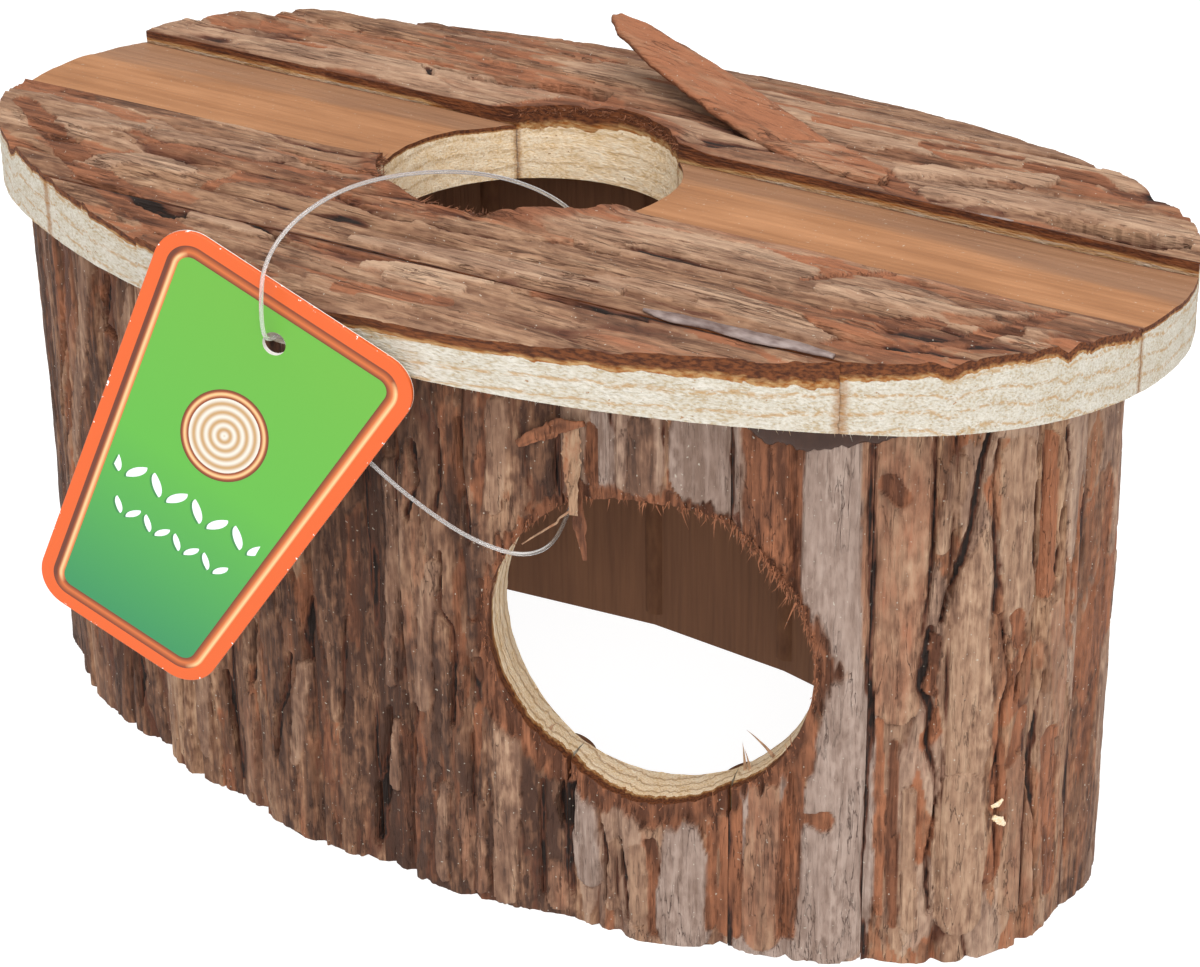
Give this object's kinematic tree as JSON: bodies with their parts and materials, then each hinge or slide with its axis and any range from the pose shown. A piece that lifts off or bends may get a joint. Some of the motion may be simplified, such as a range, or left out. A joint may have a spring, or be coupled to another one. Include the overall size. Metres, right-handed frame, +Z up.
{
  "type": "small-pet wooden house",
  "caption": "Oval small-pet house: upright bark-covered slats with a round entrance, under a flat oval slat roof with a round top hole; a blank card tag swings on a nylon loop.",
  "frame": {"origin": "on the ground under the middle of the house: the middle of the box round the house without its tag and loop", "axes": "+Z up; +X along the roof slats, towards the end with the entrance; the entrance is on the -Y side"},
  "size_m": [0.235, 0.1559, 0.1283],
  "materials": {
    "bark": "matte",
    "peeled_wood": "satin",
    "sawn_wood": "matte",
    "inner_bark": "matte",
    "hot_glue": "gloss",
    "printed_card": "satin",
    "clear_nylon": "gloss",
    "lock_nylon": "satin"
  },
  "bodies": {
    "house": {"bark_strip": "inner_bark", "glue_bead_under_eave": "hot_glue", "glue_lines_between_slats": "hot_glue", "glue_ring_under_roof": "hot_glue", "loop_lock": "lock_nylon", "nylon_loop": "clear_nylon", "roof_slat_bare_left": "peeled_wood", "roof_slat_bare_right": "peeled_wood", "roof_slat_front": "bark", "roof_slat_front_edge": "bark", "roof_slat_rear": "bark", "roof_slat_rear_edge": "bark", "wall_slat_01": "bark", "wall_slat_02": "bark", "wall_slat_03_above_door": "bark", "wall_slat_03_below_door": "bark", "wall_slat_04": "bark", "wall_slat_05": "bark", "wall_slat_06": "bark", "wall_slat_07": "bark", "wall_slat_08": "bark", "wall_slat_09": "bark", "wall_slat_10": "bark", "wall_slat_11": "bark", "wall_slat_12": "bark", "wall_slat_13": "bark", "wall_slat_14": "bark", "wall_slat_15": "bark", "wall_slat_16": "bark", "wall_slat_17": "bark"},
    "tag": {"card_tag": "printed_card"}
  },
  "joints": [
    {"name": "tag_swing", "type": "hinge", "parent": "house", "child": "tag", "pos_m": [-0.0019, -0.07479, 0.1061], "axis": [0.309, -0.9511, 0], "range_deg": [-12, 45]}
  ]
}
